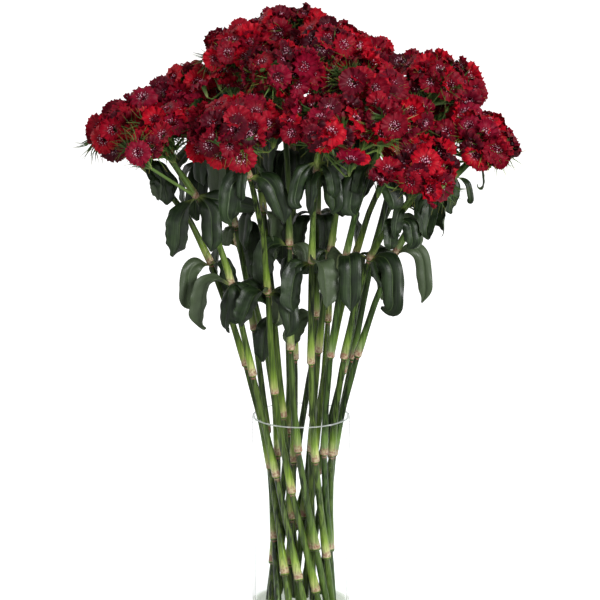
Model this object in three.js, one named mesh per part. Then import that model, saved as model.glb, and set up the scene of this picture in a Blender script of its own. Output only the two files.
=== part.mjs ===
// A bunch of sweet william, the garden carnation that flowers in clusters, standing in a
// straight clear glass vase. Millimetres, +Z up. The origin is the centre of the vase's flat
// underside, and the bunch is seen from the front along +Y.

import * as THREE from "three";

// The gap kept between two pieces that rest on or grow from each other.
const seatGap = 0.3;

// The vase: a straight round tumbler with a thick solid floor.
const vaseRadius = 50;
const vaseHeight = 210;
const vaseWall = 3;
const vaseFloor = 11;
const footChamfer = 1.5;
const floorFillet = 4;
const rimSteps = 4;
const vaseSegments = 40;

// The stems: thin rods with a swollen joint at every pair of leaves.
const stemRadius = 3.4;
const stemTopRadius = 2.8;
const jointSwell = 1.4;
const jointSpacing = 106;
const jointBelow = 9;
const jointAbove = 5;
const topJointDrop = 24;
const leastSpacing = 34;
const stemSides = 6;

// Where the stems stand and lean. They cross the vase in a spiral: each foot is turned round
// the vase from the place where the same stem leans on the rim.
const rimReach = vaseRadius - vaseWall - stemRadius - seatGap;
const footReach = 33;
const innerRimReach = 19;
const innerFootReach = 13;
const leanHeight = vaseHeight + 2;
const neckLength = 78;
const neckInward = 0.95;
const placeTolerance = 1e-5;

// The heads: a flat dome of florets on a short funnel of flower stalks.
const headDrop = 28;
const headRise = 23;
const headFootRadius = 5;
const headSides = 10;
const facingCentre = 235;

// The outline of a head between its foot and its top: shares of its radius and of its rise.
const headOutline = [
  [0.58, -0.76],
  [0.95, -0.12],
  [1, 0.18],
  [0.84, 0.6],
  [0.48, 0.9],
];

// The leaves: narrow blades, folded along the midrib, that arch over and curl at the tip.
const leafThickness = 1.2;
const leafFold = 0.3;
const leafFootWidth = 4;
const leafTipWidth = 1.5;
const leafFullness = 0.8;
const leafWidestPower = 1.15;
const leafBentBy = 0.5;
const leafCurlsFrom = 0.72;
const leafSteps = 9;

// Each flower: the middle of its head, the head's radius, and the turn round the vase, in
// degrees from +X, of the place where it leans on the rim and of its foot. joint is the height
// of its lowest swollen joint. Inner stems stand in the middle of the bunch. inward draws the
// neck of a wide stem nearer to the middle.
const flowers = [
  { name: "far_left", head: [-190, 15, 504], radius: 36, rim: 176, foot: 250, joint: 38, inward: 0.9 },
  { name: "left_front", head: [-143, -48, 510], radius: 37, rim: 206, foot: 278, joint: 34 },
  { name: "left_ridge", head: [-118, 58, 532], radius: 37, rim: 150, foot: 226, joint: 70 },
  { name: "mid_left_front", head: [-64, -92, 525], radius: 40, rim: 238, foot: 306, joint: 20 },
  { name: "centre_front", head: [19, -106, 532], radius: 37, rim: 286, foot: 344, joint: 54 },
  { name: "young", head: [84, -104, 530], radius: 23, rim: 304, foot: 4, joint: 60 },
  { name: "right_front", head: [124, -90, 480], radius: 37, rim: 322, foot: 26, joint: 56, inward: 0.9 },
  { name: "far_right", head: [183, -26, 500], radius: 37, rim: 340, foot: 50, joint: 54, inward: 0.9 },
  { name: "right_upper", head: [142, 24, 550], radius: 40, rim: 14, foot: 88, joint: 44 },
  { name: "right_back", head: [142, 108, 500], radius: 37, rim: 38, foot: 112, joint: 24 },
  { name: "back_right", head: [56, 150, 512], radius: 37, rim: 62, foot: 134, joint: 72 },
  { name: "back_right_top", head: [68, 78, 568], radius: 36, rim: 84, foot: 156, joint: 30 },
  { name: "back_mid", head: [-40, 148, 520], radius: 37, rim: 106, foot: 178, joint: 64 },
  { name: "back_left", head: [-122, 124, 496], radius: 37, rim: 128, foot: 202, joint: 44 },
  { name: "top_front", head: [-20, -42, 573], radius: 35, rim: 262, foot: 325, joint: 66 },
  { name: "upper_left", head: [-68, 22, 580], radius: 36, rim: 190, foot: 262, joint: 92, inner: true },
  { name: "top", head: [-14, 78, 592], radius: 37, rim: 110, foot: 185, joint: 40, inner: true },
  { name: "centre_top", head: [28, 16, 590], radius: 35, rim: 50, foot: 120, joint: 88, inner: true },
  { name: "right_centre", head: [62, -42, 562], radius: 35, rim: 310, foot: 20, joint: 58, inner: true },
  { name: "right_middle", head: [108, -36, 522], radius: 25, rim: 0, foot: 70, joint: 52, inner: true },
];

// Each leaf: the stem that it grows on and the number of the joint counted down from the head,
// the way it points, in degrees from +X, its length and width, and its pose: the angle at which
// it leaves the stem, how far it bends over and how far its tip curls in, in degrees.
const leaves = [
  { name: "far_right_leaf_low", on: ["far_right", 1], towards: 345, size: [70, 18], pose: [40, 124, 10] },
  { name: "far_right_leaf_high", on: ["far_right", 0], towards: 335, size: [50, 17], pose: [0, 78, 80] },
  { name: "right_front_leaf_low", on: ["right_front", 1], towards: 322, size: [82, 22], pose: [40, 124, 130] },
  { name: "right_front_leaf_high", on: ["right_front", 0], towards: 250, size: [46, 20], pose: [0, 70, 30] },
  { name: "young_leaf", on: ["young", 1], towards: 276, size: [76, 22], pose: [40, 126, 0] },
  { name: "centre_front_leaf", on: ["centre_front", 1], towards: 305, size: [66, 22], pose: [40, 126, 0] },
  { name: "right_middle_leaf", on: ["right_middle", 1], towards: 340, size: [52, 18], pose: [45, 122, 0] },
  { name: "right_upper_leaf", on: ["right_upper", 1], towards: 25, size: [64, 20], pose: [35, 112, 60] },
  { name: "right_back_leaf", on: ["right_back", 1], towards: 50, size: [66, 20], pose: [35, 115, 80] },
  { name: "back_right_leaf", on: ["back_right", 1], towards: 75, size: [68, 21], pose: [35, 115, 30] },
  { name: "back_mid_leaf", on: ["back_mid", 1], towards: 100, size: [66, 21], pose: [35, 115, 60] },
  { name: "back_left_leaf", on: ["back_left", 1], towards: 140, size: [68, 20], pose: [35, 115, 40] },
  { name: "far_left_leaf", on: ["far_left", 1], towards: 196, size: [70, 18], pose: [30, 114, 60] },
  { name: "left_front_leaf_low", on: ["left_front", 1], towards: 200, size: [74, 18], pose: [40, 128, 0] },
  { name: "left_front_leaf_inner", on: ["left_front", 1], towards: 290, size: [62, 20], pose: [20, 108, 90] },
  { name: "left_front_leaf_high", on: ["left_front", 0], towards: 200, size: [74, 22], pose: [10, 96, 120] },
  { name: "left_front_leaf_level", on: ["left_front", 0], towards: 350, size: [70, 19], pose: [-12, -4, 20] },
  { name: "mid_left_leaf_low", on: ["mid_left_front", 1], towards: 215, size: [56, 24], pose: [40, 90, 0] },
  { name: "mid_left_leaf_high", on: ["mid_left_front", 0], towards: 330, size: [60, 20], pose: [0, 64, 20] },
];

const materials = {
  glass: new THREE.MeshStandardMaterial({ color: 0xe6ecea, roughness: 0.05, metalness: 0 }),
  stem: new THREE.MeshStandardMaterial({ color: 0x4f7a35, roughness: 0.5, metalness: 0 }),
  leaf: new THREE.MeshStandardMaterial({ color: 0x1f3a24, roughness: 0.5, metalness: 0 }),
  petal: new THREE.MeshStandardMaterial({ color: 0x8c0d18, roughness: 0.7, metalness: 0 }),
};

const up = new THREE.Vector3(0, 0, 1);

function radians(degrees) {
  return THREE.MathUtils.degToRad(degrees);
}

function polar(reach, angle, height) {
  return new THREE.Vector3(reach * Math.cos(radians(angle)), reach * Math.sin(radians(angle)), height);
}

function named(name, geometry, material) {
  const mesh = new THREE.Mesh(geometry, material);
  mesh.name = name;
  return mesh;
}

// A solid of revolution about Z from a profile of [radius, height] points on the axis at both ends.
function turned(profile, segments) {
  const points = profile.map(([radius, height]) => new THREE.Vector2(radius, height));
  const geometry = new THREE.LatheGeometry(points, segments);
  geometry.rotateX(Math.PI / 2);
  return geometry;
}

function vase() {
  const inner = vaseRadius - vaseWall;
  const lip = vaseWall / 2;
  const rim = [];
  for (let i = 0; i <= rimSteps; i += 1) {
    const turn = (Math.PI * i) / rimSteps;
    rim.push([inner + lip + lip * Math.cos(turn), vaseHeight - lip + lip * Math.sin(turn)]);
  }
  const profile = [
    [0, 0],
    [vaseRadius - footChamfer, 0],
    [vaseRadius, footChamfer],
    ...rim,
    [inner, vaseFloor + floorFillet],
    [inner - floorFillet, vaseFloor],
    [0, vaseFloor],
  ];
  return named("vase", turned(profile, vaseSegments), materials.glass);
}

// The way a head faces: away from a point low in the middle of the bunch.
function facing(flower) {
  const [x, y, z] = flower.head;
  return new THREE.Vector3(x, y, z - facingCentre).normalize();
}

function headFoot(flower) {
  return new THREE.Vector3(...flower.head).addScaledVector(facing(flower), -headDrop);
}

// The stem's centre line: from its foot, over the rim, to the underside of its head.
function centreLine(flower) {
  const top = headFoot(flower).addScaledVector(facing(flower), -seatGap);
  const neck = top.clone().addScaledVector(facing(flower), -neckLength);
  const inward = flower.inward ?? neckInward;
  neck.x *= inward;
  neck.y *= inward;
  const lean = polar(flower.inner ? innerRimReach : rimReach, flower.rim, leanHeight);
  const foot = polar(flower.inner ? innerFootReach : footReach, flower.foot, vaseFloor + seatGap);
  foot.z += stemRadius * Math.hypot(lean.x - foot.x, lean.y - foot.y) / leanHeight;
  return new THREE.CatmullRomCurve3([foot, lean, neck, top]);
}

// Stems grow thinner towards the head.
function stemThickness(flower, height) {
  return THREE.MathUtils.lerp(stemRadius, stemTopRadius, height / headFoot(flower).z);
}

// The heights of a stem's joints, from the foot up. The top one lies just under the head.
function jointHeights(flower) {
  const topJoint = headFoot(flower).z - topJointDrop;
  const heights = [];
  for (let height = vaseFloor + flower.joint; height < topJoint - leastSpacing; height += jointSpacing) {
    heights.push(height);
  }
  return [...heights, topJoint];
}

// The place along a centre line, from 0 to 1, that lies at a given height.
function placeAtHeight(curve, height) {
  let low = 0;
  let high = 1;
  while (high - low > placeTolerance) {
    const middle = (low + high) / 2;
    if (curve.getPoint(middle).z < height) {
      low = middle;
    } else {
      high = middle;
    }
  }
  return (low + high) / 2;
}

// A closed rod of round rings. Each ring is { at, along, radius }.
function rod(rings, sides) {
  const geometry = new THREE.CylinderGeometry(1, 1, 1, sides, rings.length - 1);
  const place = geometry.attributes.position;
  for (let i = 0; i < place.count; i += 1) {
    const ring = rings[Math.round((place.getY(i) + 0.5) * (rings.length - 1))];
    const across = new THREE.Vector3(0, 1, 0).cross(ring.along).normalize();
    const beside = ring.along.clone().cross(across);
    const point = ring.at.clone()
      .addScaledVector(across, place.getX(i) * ring.radius)
      .addScaledVector(beside, -place.getZ(i) * ring.radius);
    place.setXYZ(i, point.x, point.y, point.z);
  }
  return geometry;
}

function stem(flower) {
  const curve = centreLine(flower);
  const thickness = (height) => stemThickness(flower, height);
  const heights = jointHeights(flower);
  const stops = [];
  for (const height of heights) {
    stops.push([height - jointBelow, thickness(height)]);
    stops.push([height, thickness(height) + jointSwell]);
    stops.push([height + jointAbove, thickness(height)]);
  }
  for (let i = 1; i < heights.length; i += 1) {
    const middle = (heights[i - 1] + heights[i]) / 2;
    stops.push([middle, thickness(middle)]);
  }
  stops.sort((one, other) => one[0] - other[0]);
  const rings = stops.map(([height, radius]) => ({ place: placeAtHeight(curve, height), radius }));
  rings.unshift({ place: 0, radius: stemRadius });
  rings.push({ place: 1, radius: stemTopRadius });
  const placed = rings.map(({ place, radius }) => ({
    at: curve.getPoint(place),
    along: curve.getTangent(place),
    radius,
  }));
  return named(`${flower.name}_stem`, rod(placed, stemSides), materials.stem);
}

function head(flower) {
  const outline = headOutline.map(([across, above]) => [across * flower.radius, above * headRise]);
  const profile = [[0, -headDrop], [headFootRadius, -headDrop], ...outline, [0, headRise]];
  const mesh = named(`${flower.name}_head`, turned(profile, headSides), materials.petal);
  mesh.position.set(...flower.head);
  mesh.quaternion.setFromUnitVectors(up, facing(flower));
  return mesh;
}

// The width of a leaf at a share of its length, from a narrow foot to a pointed tip.
function leafWidth(share, width) {
  const swell = Math.max(0, Math.sin(Math.PI * share ** leafWidestPower));
  const blade = width * swell ** leafFullness;
  return Math.max(blade, THREE.MathUtils.lerp(leafFootWidth, leafTipWidth, share));
}

// A flat box of leaf, bent along its length in the upright plane that it points into.
function leaf(entry) {
  const [stemName, joint] = entry.on;
  const [length, width] = entry.size;
  const [rise, bend, curl] = entry.pose;
  const flower = flowers.find((one) => one.name === stemName);
  const curve = centreLine(flower);
  const height = jointHeights(flower).at(-1 - joint);
  const outward = polar(1, entry.towards, 0);
  const across = new THREE.Vector3().crossVectors(up, outward);
  const place = placeAtHeight(curve, height);
  const off = outward.clone().projectOnPlane(curve.getTangent(place)).normalize();
  const heel = Math.abs(Math.sin(radians(rise))) * leafThickness / 2;
  const reach = stemThickness(flower, height) + jointSwell + seatGap + heel;
  const foot = curve.getPoint(place).addScaledVector(off, reach);
  const slope = (share) => {
    const bent = bend * THREE.MathUtils.smoothstep(share, 0, leafBentBy);
    const curled = curl * THREE.MathUtils.smoothstep(share, leafCurlsFrom, 1);
    return radians(rise - bent - curled);
  };
  const step = length / leafSteps;
  const spine = [foot];
  for (let i = 0; i < leafSteps; i += 1) {
    const angle = slope((i + 0.5) / leafSteps);
    const next = spine[i].clone().addScaledVector(outward, step * Math.cos(angle));
    spine.push(next.addScaledVector(up, step * Math.sin(angle)));
  }
  const geometry = new THREE.BoxGeometry(1, 1, 1, leafSteps, 2, 1);
  const corners = geometry.attributes.position;
  for (let i = 0; i < corners.count; i += 1) {
    const share = corners.getX(i) + 0.5;
    const side = corners.getY(i) * leafWidth(share, width);
    const angle = slope(share);
    const lift = Math.abs(side) * leafFold + corners.getZ(i) * leafThickness;
    const point = spine[Math.round(share * leafSteps)].clone();
    point.addScaledVector(across, side);
    point.addScaledVector(outward, -Math.sin(angle) * lift);
    point.addScaledVector(up, Math.cos(angle) * lift);
    corners.setXYZ(i, point.x, point.y, point.z);
  }
  return named(entry.name, geometry, materials.leaf);
}

const bunch = new THREE.Group();
bunch.add(vase());
for (const flower of flowers) {
  bunch.add(stem(flower));
  bunch.add(head(flower));
}

for (const entry of leaves) {
  bunch.add(leaf(entry));
}

export default bunch;
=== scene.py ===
import math
import random

import bmesh
import bpy
import numpy as np
from mathutils import Matrix, Quaternion, Vector


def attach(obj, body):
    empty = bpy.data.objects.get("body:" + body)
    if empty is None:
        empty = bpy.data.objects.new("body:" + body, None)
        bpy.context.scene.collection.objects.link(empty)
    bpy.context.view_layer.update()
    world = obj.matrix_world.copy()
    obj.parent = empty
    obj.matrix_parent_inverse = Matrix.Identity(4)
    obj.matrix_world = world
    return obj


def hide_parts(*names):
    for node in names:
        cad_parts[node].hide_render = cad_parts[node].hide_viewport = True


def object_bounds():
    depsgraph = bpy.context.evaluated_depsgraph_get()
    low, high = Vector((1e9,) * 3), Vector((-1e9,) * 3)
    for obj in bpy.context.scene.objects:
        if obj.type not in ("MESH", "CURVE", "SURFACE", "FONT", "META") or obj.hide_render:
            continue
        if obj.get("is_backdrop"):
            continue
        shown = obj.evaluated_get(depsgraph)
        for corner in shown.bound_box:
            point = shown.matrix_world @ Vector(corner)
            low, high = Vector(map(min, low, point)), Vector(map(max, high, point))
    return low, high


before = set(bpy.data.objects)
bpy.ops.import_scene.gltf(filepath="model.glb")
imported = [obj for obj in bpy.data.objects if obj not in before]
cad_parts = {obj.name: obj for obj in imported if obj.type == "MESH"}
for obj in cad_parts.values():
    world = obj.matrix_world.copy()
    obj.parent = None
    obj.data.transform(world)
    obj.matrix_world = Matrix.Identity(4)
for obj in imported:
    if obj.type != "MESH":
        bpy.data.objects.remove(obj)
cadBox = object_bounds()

# A bunch of red sweet william in a straight glass vase. Metres, +Z up, its front faces -Y.

up = Vector((0, 0, 1))
mm = 0.001
fullTurn = 2 * math.pi
goldenAngle = 2.39996  # turning by this each time spreads points evenly

# The photo's view: a long lens, tilted down a little. offAxis is how many pixels the vase
# stands right of the picture's middle.
view = dict(distance=5.0, tilt=13.67, aimHeight=0.3305, pixel=0.001016, picture=600, offAxis=1)


def makeCamera():
    tilt = math.radians(view["tilt"])
    aim = Vector((-view["offAxis"] * view["pixel"], 0, view["aimHeight"]))
    away = Vector((0, -math.cos(tilt), math.sin(tilt)))
    bpy.ops.object.camera_add(location=aim + view["distance"] * away,
                              rotation=(math.pi / 2 - tilt, 0, 0))
    camera = bpy.context.object
    camera.data.sensor_width = 36
    camera.data.lens = 36 * view["distance"] / (view["picture"] * view["pixel"])
    camera.data.clip_end = 100
    bpy.context.scene.camera = camera


# Selecting, copying and joining
def pick(*things):
    bpy.ops.object.select_all(action="DESELECT")
    for thing in things:
        thing.select_set(True)
    bpy.context.view_layer.objects.active = things[0]


def joined(things, name):
    pick(*things)
    if len(things) > 1:
        bpy.ops.object.join()
    thing = bpy.context.object
    thing.name = thing.data.name = name
    return thing


def copyOf(thing, matrix):
    other = thing.copy()
    other.data = thing.data.copy()
    other.data.transform(matrix)
    bpy.context.collection.objects.link(other)
    return other


def remove(*things):
    pick(*things)
    bpy.ops.object.delete()


def applyModifiers(thing):
    pick(thing)
    for name in [modifier.name for modifier in thing.modifiers]:
        bpy.ops.object.modifier_apply(modifier=name)


def settle(thing):
    # puts the object's place, turn and size into its mesh
    pick(thing)
    bpy.ops.object.transform_apply(location=True, rotation=True, scale=True)


def dress(thing, *materials):
    thing.data.materials.clear()
    for material in materials:
        thing.data.materials.append(material)


def smoothed(thing, degrees):
    pick(thing)
    bpy.ops.object.shade_smooth_by_angle(angle=math.radians(degrees))


# Shaping in edit mode: points are chosen by their place
def edit():
    bpy.ops.object.mode_set(mode="EDIT")
    bpy.ops.mesh.select_mode(type="VERT")


def doneEditing():
    bpy.ops.object.mode_set(mode="OBJECT")


def pickPoints(test):
    mesh = bpy.context.object.data
    shape = bmesh.from_edit_mesh(mesh)
    for point in shape.verts:
        point.select = bool(test(point.co))
    shape.select_flush_mode()
    bmesh.update_edit_mesh(mesh)


def pickEdges(test):
    # an edge is chosen by its two ends
    bpy.ops.mesh.select_mode(type="EDGE")
    mesh = bpy.context.object.data
    shape = bmesh.from_edit_mesh(mesh)
    for side in shape.edges:
        side.select = bool(test(*(end.co for end in side.verts)))
    shape.select_flush_mode()
    bmesh.update_edit_mesh(mesh)


def pickFaces(test):
    bpy.ops.mesh.select_mode(type="FACE")
    mesh = bpy.context.object.data
    shape = bmesh.from_edit_mesh(mesh)
    for face in shape.faces:
        face.select = bool(test(face.calc_center_median(), face.normal))
    shape.select_flush_mode()
    bmesh.update_edit_mesh(mesh)


def shift(test, by):
    pickPoints(test)
    bpy.ops.transform.translate(value=by)


def scale(test, by, about=(0, 0, 0)):
    pickPoints(test)
    bpy.ops.transform.resize(value=by, center_override=about)


def extrude(by, grow=1, about=(0, 0, 0)):
    # pulls the selected edge or face out and makes it wider or narrower
    bpy.ops.mesh.extrude_region_move(TRANSFORM_OT_translate={"value": by})
    if grow != 1:
        bpy.ops.transform.resize(value=(grow, grow, 1), center_override=about)


def smoothstep(low, high, value):
    share = min(max((value - low) / (high - low), 0), 1)
    return share * share * (3 - 2 * share)


def between(first, second, share):
    return first + (second - first) * share


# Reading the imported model
def nodeSpots(name):
    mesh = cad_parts[name].data
    spots = np.empty(len(mesh.vertices) * 3)
    mesh.vertices.foreach_get("co", spots)
    return spots.reshape(-1, 3)


def nodeEdges(name):
    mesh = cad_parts[name].data
    ends = np.empty(len(mesh.edges) * 2, dtype=int)
    mesh.edges.foreach_get("vertices", ends)
    return nodeSpots(name)[ends].reshape(-1, 2, 3)


def centreAt(edges, height):
    # the middle of a rod where a level plane cuts it
    lower, upper = edges[:, 0], edges[:, 1]
    cut = (lower[:, 2] - height) * (upper[:, 2] - height) < 0
    lower, upper = lower[cut], upper[cut]
    share = (height - lower[:, 2]) / (upper[:, 2] - lower[:, 2])
    spots = lower + (upper - lower) * share[:, None]
    return (spots.min(axis=0) + spots.max(axis=0)) / 2


# How a stem's centre line and joints are read: metres between its points, how far from its ends
# the level cuts start, how far a joint stands out, and how far apart two joints are at least
reading = dict(step=0.004, endRing=0.006, jointProud=0.0007, jointGap=0.012)


def readStem(name):
    spots = np.unique(nodeSpots(name).round(7), axis=0)
    edges = nodeEdges(name)
    low, high = spots[:, 2].min(), spots[:, 2].max()
    foot = spots[spots[:, 2] < low + reading["endRing"]].mean(axis=0)
    top = spots[spots[:, 2] > high - reading["endRing"]].mean(axis=0)
    heights = np.arange(low + reading["endRing"], high - reading["endRing"], reading["step"])
    line = np.array([foot, *(centreAt(edges, height) for height in heights), top])
    away = np.linalg.norm(spots[:, None] - line[None], axis=2).min(axis=1)
    thin = np.sort(away)[: len(away) // 3].max()
    proud = spots[away > thin + reading["jointProud"]]
    proud = proud[np.argsort(proud[:, 2])]
    rings = np.split(proud, np.where(np.diff(proud[:, 2]) > reading["jointGap"])[0] + 1)
    joints = [Vector(ring.mean(axis=0)) for ring in rings]
    return dict(line=[Vector(spot) for spot in line], joints=joints, top=Vector(top))


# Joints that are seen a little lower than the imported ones: by how much, from the head down
lowered = {"left_front": (0.018, 0.009)}


def lowerJoints(name):
    line, joints = stems[name]["line"], stems[name]["joints"]
    for number, by in enumerate(lowered.get(name, ())):
        height = joints[-1 - number].z - by
        joints[-1 - number] = min(line, key=lambda spot: abs(spot.z - height)).copy()


# Spots above the last joint that leaves grow from too, counted back from the end of the line
highSpots = dict(neck=3, top=1)


def jointOf(name, where):
    # where is a joint's number, counted down from the head, or the name of a high spot
    if where in highSpots:
        return stems[name]["line"][-highSpots[where]]
    return stems[name]["joints"][-1 - where]


def readHead(name, foot):
    spots = np.unique(nodeSpots(name).round(7), axis=0)
    facing = Vector(spots.mean(axis=0) - np.array(foot)).normalized()
    along = (spots - np.array(foot)) @ np.array(facing)
    across = np.linalg.norm(spots - np.array(foot) - np.outer(along, facing), axis=1)
    widest = along[across > across.max() * 0.99].mean()
    return dict(facing=facing, foot=foot, radius=across.max(), middle=foot + facing * widest,
                rise=along.max() - widest, drop=widest - along.min())


# Colours and materials
def paint(red, green, blue):
    # a screen colour, 0 to 255, as the linear colour that a shader takes
    straight = lambda part: part / 12.92 if part <= 0.04045 else ((part + 0.055) / 1.055) ** 2.4
    return (*(straight(part / 255) for part in (red, green, blue)), 1)


class Wire:
    # a number that comes out of a node and can be used in sums
    def __init__(self, finish, socket):
        self.finish, self.socket = finish, socket

    def sum(self, operation, first, second):
        return self.finish.node("Math", dict(operation=operation), {0: first, 1: second})

    def __add__(self, other):
        return self.sum("ADD", self, other)

    def __radd__(self, other):
        return self.sum("ADD", other, self)

    def __sub__(self, other):
        return self.sum("SUBTRACT", self, other)

    def __rsub__(self, other):
        return self.sum("SUBTRACT", other, self)

    def __mul__(self, other):
        return self.sum("MULTIPLY", self, other)

    def __rmul__(self, other):
        return self.sum("MULTIPLY", other, self)

    def __gt__(self, other):
        return self.sum("GREATER_THAN", self, other)

    def __lt__(self, other):
        return self.sum("LESS_THAN", self, other)

    def part(self):
        # what is left after the decimal point
        return self.finish.node("Math", dict(operation="FRACT"), {0: self})

    def size(self):
        return self.finish.node("Math", dict(operation="ABSOLUTE"), {0: self})

    def split(self):
        # the three numbers of a vector
        return [self.finish.node("SeparateXYZ", {}, {0: self}, out) for out in range(3)]


class Finish:
    # a material and the nodes that make it
    def __init__(self, name, **fixed):
        self.material = bpy.data.materials.new(name)
        self.material.use_nodes = True
        self.nodes = self.material.node_tree.nodes
        self.links = self.material.node_tree.links
        self.shader = self.nodes["Principled BSDF"]
        for socket, value in fixed.items():
            self.shader.inputs[socket.replace("_", " ")].default_value = value

    def node(self, kind, settings, sockets, out=0):
        node = self.nodes.new("ShaderNode" + kind)
        for setting, value in settings.items():
            if setting == "stops":
                ramp = node.color_ramp
                while len(ramp.elements) < len(value):
                    ramp.elements.new(1)
                for element, (place, colour) in zip(ramp.elements, value):
                    element.position, element.color = place, colour
            elif setting == "interpolation":
                node.color_ramp.interpolation = value
            else:
                setattr(node, setting, value)
        for socket, value in sockets.items():
            self.feed(node.inputs[socket], value)
        return Wire(self, node.outputs[out])

    def feed(self, socket, value):
        if isinstance(value, Wire):
            self.links.new(value.socket, socket)
        else:
            socket.default_value = value

    def set(self, **sockets):
        for socket, value in sockets.items():
            self.feed(self.shader.inputs[socket.replace("_", " ")], value)
        return self.material

    def mapOf(self, name):
        return self.node("UVMap", dict(uv_map=name), {}).split()

    def place(self, stretch=(1, 1, 1)):
        here = self.node("TexCoord", {}, {}, 3)
        return self.node("Mapping", {}, {"Vector": here, "Scale": stretch})

    def noise(self, where, fineness, detail=2, rough=0.5):
        return self.node("TexNoise", {}, {"Vector": where, "Scale": fineness, "Detail": detail,
                                          "Roughness": rough})

    def vector(self, x, y, z=0):
        return self.node("CombineXYZ", {}, {0: x, 1: y, 2: z})

    def step(self, value, low, high, start=0, end=1):
        return self.node("MapRange", dict(interpolation_type="SMOOTHSTEP"),
                         {"Value": value, "From Min": low, "From Max": high,
                          "To Min": start, "To Max": end})

    def mix(self, share, first, second, how="MIX"):
        # sockets 6, 7 and 2 are the colour ones
        return self.node("Mix", dict(data_type="RGBA", blend_type=how),
                         {0: share, 6: first, 7: second}, 2)

    def ramp(self, value, stops, interpolation="LINEAR"):
        return self.node("ValToRGB", dict(stops=stops, interpolation=interpolation), {0: value})

    def bump(self, height, strength, depth):
        return self.node("Bump", {}, {"Height": height, "Strength": strength, "Distance": depth})


# A piece's own map, in tiles: each kind of part has its tile, and the material reads it there.
# tileMargin is kept free round a tile, as a share of it.
tileMap = "OFBake"
tileMargin = 0.05


def placeOnTile(thing, place, tile, tiles):
    # place gives a point's spot inside its tile, from 0 to 1; tiles is how many columns and rows
    mesh = thing.data
    while mesh.uv_layers:
        mesh.uv_layers.remove(mesh.uv_layers[0])
    layer = mesh.uv_layers.new(name=tileMap)
    for loop in mesh.loops:
        spot = place(mesh.vertices[loop.vertex_index].co)
        layer.data[loop.index].uv = [
            (tile[k] + between(tileMargin, 1 - tileMargin, spot[k])) / tiles[k] for k in range(2)]


def moveTile(mesh, across, along, below=1):
    # moves what lies lower in the map than below
    layer = mesh.uv_layers[tileMap]
    spots = np.empty(len(layer.data) * 2)
    layer.data.foreach_get("uv", spots)
    spots = spots.reshape(-1, 2)
    spots[spots[:, 1] < below] += (across, along)
    layer.data.foreach_set("uv", spots.ravel())


def shareOf(value, whole):
    # how far value is along whole, from 0 to 1
    return min(max(value / whole, 0), 1)


def finished(thing, name, slot, *replaced):
    thing.name = thing.data.name = name
    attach(thing, "root")
    if replaced:
        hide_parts(*replaced)
    return thing


# The vase: a straight tumbler of clear glass with a thick floor
vaseLook = dict(radius=0.05, height=0.21, wall=0.003, floor=0.011, footChamfer=0.0015, fillet=0.004,
                sides=128, bending=1.01, shine=0.7, smudge=0.1, rim=0.0009)


def makeVase():
    look = vaseLook
    bpy.ops.mesh.primitive_cylinder_add(vertices=look["sides"], radius=look["radius"],
                                        depth=look["height"], location=(0, 0, look["height"] / 2))
    settle(bpy.context.object)
    edit()
    pickFaces(lambda middle, normal: normal.z > 0.9)
    bpy.ops.mesh.inset(thickness=look["wall"])
    extrude((0, 0, look["floor"] - look["height"]))

    def ring(radius, height):
        near = 0.0002
        return lambda *ends: all(abs(math.hypot(end.x, end.y) - radius) < near
                                 and abs(end.z - height) < near for end in ends)

    inner = look["radius"] - look["wall"]
    lip = look["wall"] * 0.49  # nearly half the wall on each side rounds the rim
    for radius, height, offset, segments in (
            (look["radius"], look["height"], lip, 4),
            (inner, look["height"], lip, 4),
            (inner, look["floor"], look["fillet"], 6),
            (look["radius"], 0, look["footChamfer"], 3)):
        pickEdges(ring(radius, height))
        bpy.ops.mesh.bevel(offset=offset, segments=segments, profile=0.5)
    doneEditing()
    vase = bpy.context.object
    smoothed(vase, 40)
    glass = Finish("clear glass", Transmission_Weight=1, Roughness=0, IOR=look["bending"],
                   Coat_IOR=1.45, Coat_Roughness=0.02, Specular_IOR_Level=0.5)
    cloud = glass.noise(glass.place((1, 1, 0.5)), 30, 3)
    height = glass.place().split()[2]
    # the thick floor is a little grey, the wall is clear
    thick = glass.step(height, look["floor"] - 0.0005, look["floor"] + look["fillet"], 1, 0)
    clear = glass.mix(thick, paint(252, 254, 253), paint(176, 182, 170))
    # it shines where it is seen at a slant, a little less where it is smudged
    slant = glass.node("LayerWeight", {}, {"Blend": 0.5}, 1)
    polish = glass.step(cloud, 0.4, 0.7, look["shine"], look["shine"] - look["smudge"])
    glass.set(Base_Color=clear, Coat_Weight=glass.step(slant, 0.55, 0.95, 0, 1) * polish)
    # the fire-polished rim is painted pale and half opaque: a painted highlight, the bright line of light
    # that a rounded glass rim gathers
    rim = Finish("rim painted highlight", Transmission_Weight=0.5, IOR=1.2, Roughness=0.1)
    rim.set(Base_Color=rim.mix(rim.noise(rim.place(), 60, 2), paint(236, 241, 239), paint(214, 220, 218)))
    dress(vase, glass.material, rim.material)
    # the faces of the top rim band take the rim's painted highlight
    for face in vase.data.polygons:
        if face.center.z > look["height"] - look["rim"]:
            face.material_index = 1
    # light passes the clear wall to the stems inside
    vase.visible_shadow = vase.visible_diffuse = False
    return finished(vase, "glass_vase", "glass", "vase")


# The stalks: each swells above its joints, where a pale sheath wraps it, and is narrower below
# them. thick and thin are its radius at the foot and at the height thinFrom, and joint, sheath and
# waist say how wide it is there against that. jointRings are the heights round a joint where it
# has a ring of its own, and jointClear keeps other rings away. mapReach is how far from a joint
# its map goes, and tones how many greens the stalks take in turn.
stalkLook = dict(ring=0.0035, round=4, thick=0.0036, thin=0.0028, thinFrom=0.55, waist=0.86,
                 waistLength=0.02, joint=1.34, sheath=1.3, sheathLength=0.042, jointHeight=0.0024,
                 jointRings=(-0.005, -0.0033, -0.0024, 0, 0.0024, 0.0034, 0.005), jointClear=0.0052,
                 mapReach=0.06, tones=4)


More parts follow.
